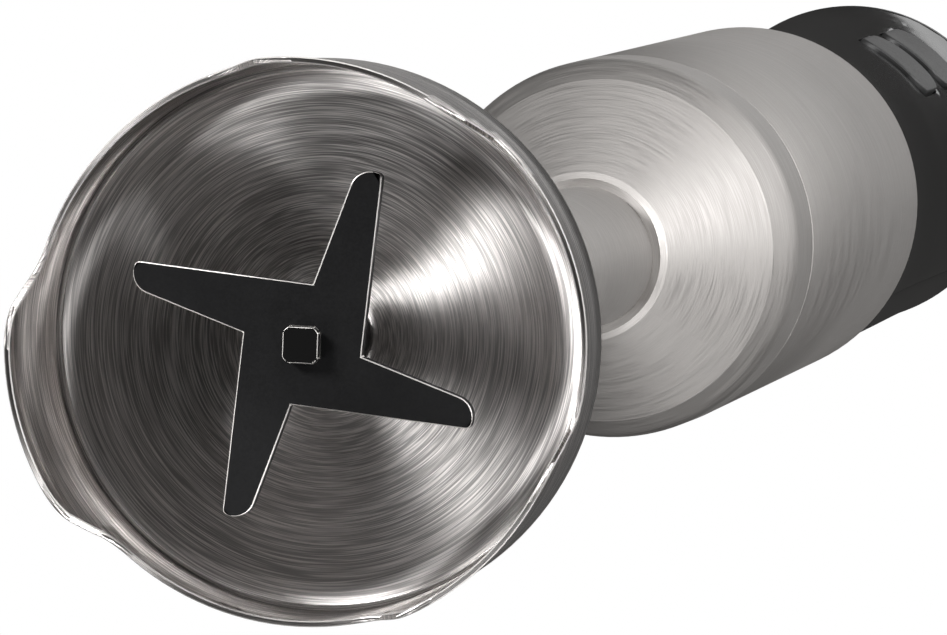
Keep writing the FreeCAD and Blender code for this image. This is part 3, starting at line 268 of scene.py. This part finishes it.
def turned_steel(name, colour, roughness, stretch, line_pitch, depth, contrast):
    """Steel turned on a lathe: fine circular scratches and a highlight drawn across them."""
    steel = Shader(name, colour, roughness, 1.0)
    x, y, z = steel.place()[:3]
    square = steel.maths("ADD", steel.maths("MULTIPLY", x, x), steel.maths("MULTIPLY", y, y))
    radius = steel.maths("SQRT", square)
    across = steel.maths("DIVIDE", x, radius)
    along = steel.maths("DIVIDE", y, radius)
    reach = steel.maths("ADD", radius, steel.maths("MULTIPLY", z, SCRATCH_DEPTH_SHARE))
    layers = []
    for multiple, breaks, weight, shift in SCRATCH_SETS:
        line = steel.maths("MULTIPLY", reach, 1 / (line_pitch * multiple))
        spot = steel.vector(
            steel.maths("MULTIPLY", across, breaks),
            steel.maths("MULTIPLY", along, breaks),
            steel.maths("ADD", line, shift),
        )
        layers.append(steel.maths("MULTIPLY", steel.noise(spot, 1.0, 1.0), weight))
    lines = steel.maths("ADD", steel.maths("ADD", layers[0], layers[1]), layers[2])
    scratch = steel.spread(lines, 0.42, 0.60, 0.0, 1.0)
    dark = tuple(channel * (1 - contrast) for channel in colour)
    light = tuple(min(1.0, channel * (1 + contrast)) for channel in colour)
    steel.tint(scratch, dark, light)
    gloss = steel.spread(scratch, 0.0, 1.0, roughness * 1.2, roughness * 0.85)
    steel.link(gloss, steel.bsdf.inputs["Roughness"])
    steel.bump(lines, 0.6, depth)
    steel.set("Anisotropic", stretch)
    tangent = steel.add("ShaderNodeTangent", direction_type="RADIAL", axis="Z")
    steel.link(tangent.outputs[0], steel.bsdf.inputs["Tangent"])
    return steel.material


def speckled(name, colour, roughness, metallic=0.0, grain=0.4 * MM, depth=0.01 * MM, vary=0.12):
    """A moulded, cast or sintered surface: fine grain in its colour, gloss and relief."""
    piece = Shader(name, colour, roughness, metallic)
    spot = piece.add("ShaderNodeTexCoord")
    fine = piece.noise(spot.outputs["Object"], 1 / grain, 3.0)
    broad = piece.noise(spot.outputs["Object"], BLOTCHES_PER_METRE)
    both = piece.maths("MULTIPLY", piece.maths("ADD", fine, broad), 0.5)
    dark = tuple(channel * (1 - vary) for channel in colour)
    light = tuple(min(1.0, channel * (1 + vary)) for channel in colour)
    piece.tint(piece.spread(both, 0.35, 0.65, 0.0, 1.0), dark, light)
    gloss = piece.spread(both, 0.35, 0.65, roughness * 0.85, roughness * 1.15)
    piece.link(gloss, piece.bsdf.inputs["Roughness"])
    piece.bump(fine, 0.4, depth)
    return piece.material


def laminated(name, colour, pitch):
    """Stacked steel sheets: thin dark lines across the stack."""
    core = Shader(name, colour, 0.5, 0.8)
    z = core.place()[2]
    wave = core.maths("SINE", core.maths("MULTIPLY", z, 2 * math.pi / pitch))
    core.tint(core.spread(wave, -1.0, 1.0, 0.0, 1.0), tuple(c * 0.55 for c in colour), colour)
    core.bump(wave, 0.5, 0.05 * MM)
    return core.material


def wound(name, colour, pitch):
    """Enamelled wire laid in close turns."""
    coil = Shader(name, colour, 0.3, 0.9)
    x, y, z = coil.place()[:3]
    lay = coil.maths("ADD", coil.maths("ADD", x, y), z)
    wave = coil.maths("ABSOLUTE", coil.maths("SINE", coil.maths("MULTIPLY", lay, math.pi / pitch)))
    # The colour darkens to a third in the creases between turns: painted shade.
    coil.tint(coil.spread(wave, 0.0, 0.5, 0.0, 1.0), tuple(c * 0.35 for c in colour), colour)
    coil.bump(wave, 0.8, 0.1 * MM)
    return coil.material


def painted_dark_end(name, colour, roughness, end_height):
    """Ground steel painted dark below end_height, where it stands through the blade: the near black is
    a painted reflection of shade on the stub's end.
    """
    steel = Shader(name, colour, roughness, 1.0)
    height = steel.place()[2]
    above = steel.spread(height, end_height, end_height + STUB_FADE, 0.0, 1.0)
    # Painted shade: the stub's end is coloured near black in place of the dark reflection on its face.
    steel.tint(above, (0.05, 0.05, 0.05), colour)
    spot = steel.add("ShaderNodeTexCoord")
    grain = steel.noise(spot.outputs["Object"], STUB_GRAINS_PER_METRE)
    steel.bump(grain, 0.3, 0.003 * MM)
    return steel.material


def make_materials():
    """One finish for each material slot of the model."""
    return {
        "bell_steel": turned_steel(
            "bell_steel", (0.68, 0.65, 0.635), 0.40, stretch=1.0,
            line_pitch=0.09 * MM, depth=0.004 * MM, contrast=0.45,
        ),
        # body_steel is the bell's steel painted darker: painted shade, standing in for the dimmer light
        # the body catches.
        "body_steel": turned_steel(
            "body_steel", (0.41, 0.393, 0.38), 0.56, stretch=0.6,
            line_pitch=0.09 * MM, depth=0.0003 * MM, contrast=0.03,
        ),
        "bare_steel": turned_steel(
            "bare_steel", (0.50, 0.50, 0.51), 0.28, stretch=0.5,
            line_pitch=0.2 * MM, depth=0.002 * MM, contrast=0.10,
        ),
        "screw_steel": speckled("screw_steel", (0.55, 0.55, 0.56), 0.35, metallic=1.0),
        # blade_steel's near-black colour is painted shade: it stands in for the dark reflections on the
        # bare steel blade.
        "blade_steel": speckled(
            "blade_steel", (0.021, 0.021, 0.022), 0.42, metallic=0.6,
            grain=0.25 * MM, depth=0.004 * MM, vary=0.10,
        ),
        "core_steel": laminated("core_steel", (0.30, 0.30, 0.32), 0.7 * MM),
        "copper": wound("copper", (0.72, 0.30, 0.14), 0.9 * MM),
        "bronze": speckled("bronze", (0.60, 0.42, 0.22), 0.45, metallic=1.0),
        "brass": speckled("brass", (0.72, 0.56, 0.28), 0.32, metallic=1.0),
        "carbon": speckled("carbon", (0.05, 0.05, 0.055), 0.7),
        "black_rubber": speckled(
            "black_rubber", (0.018, 0.018, 0.018), 0.7,
            grain=0.5 * MM, depth=0.02 * MM,
        ),
        "black_gloss": speckled(
            "black_gloss", (0.006, 0.006, 0.006), 0.10,
            grain=1.5 * MM, depth=0.0004 * MM,
        ),
        "black_matte": speckled("black_matte", (0.009, 0.009, 0.009), 0.5),
        "grey_plastic": speckled("grey_plastic", (0.30, 0.30, 0.31), 0.5),
        "white_plastic": speckled("white_plastic", (0.80, 0.79, 0.75), 0.4),
        "board_green": speckled("board_green", (0.03, 0.17, 0.08), 0.35),
        "blue_plastic": speckled("blue_plastic", (0.06, 0.15, 0.36), 0.35),
        "wire_red": speckled("wire_red", (0.42, 0.03, 0.02), 0.45),
    }


def dress(materials):
    """Give every CAD node its finish."""
    slots = {item["node"]: item["material_slot"] for item in frame["record"]["subparts"]}
    for name, piece in NODES.items():
        piece.data.materials.clear()
        piece.data.materials.append(materials[slots[name]])


def soften(piece, width, edge_material=None, segments=2):
    """Round a node's sharp edges, with their own finish where one is given.

    The node's faces come unjoined at their edges, so they are welded first.
    """
    weld = piece.modifiers.new("join", "WELD")
    weld.merge_threshold = WELD_DISTANCE
    bevel = piece.modifiers.new("edge", "BEVEL")
    bevel.width = width
    bevel.segments = segments
    bevel.use_clamp_overlap = False
    bevel.limit_method = "ANGLE"
    bevel.angle_limit = SHARP_ANGLE
    if edge_material:
        piece.data.materials.append(edge_material)
        bevel.material = 1


def soften_edges():
    """Bright ground edges on the blade and its shaft, duller ones on the bell, plain elsewhere."""
    ground = speckled("ground_edge", (0.62, 0.60, 0.58), 0.55, metallic=0.5)
    lip = speckled("rim_lip", (0.34, 0.33, 0.32), 0.6, metallic=0.5)
    soften(NODES["blade"], BLADE_EDGE, ground, segments=1)
    blade_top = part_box("blade")[1][2]
    # The stub's end gets painted shade: a near-black colour in place of the dark reflection on its
    # face.
    stub = painted_dark_end("stub_steel", (0.50, 0.50, 0.51), 0.35, blade_top)
    NODES["drive_shaft"].data.materials[0] = stub
    soften(NODES["drive_shaft"], STUB_EDGE, ground, segments=1)
    soften(NODES["bell_guard"], RIM_EDGE, lip, segments=1)
    soften(NODES["bell_floor"], STEP_EDGE, lip, segments=1)
    for name in ("handle_front", "handle_rear", "top_cap", "low_button", "high_button", "steel_collar"):
        soften(NODES[name], HOUSING_EDGE)


# ------------------------------------------------------------------ build

camera = place_camera()
make_world()
make_floor()
dress(make_materials())
soften_edges()
light_studio(camera)
bpy.context.scene.view_settings.view_transform = "Standard"
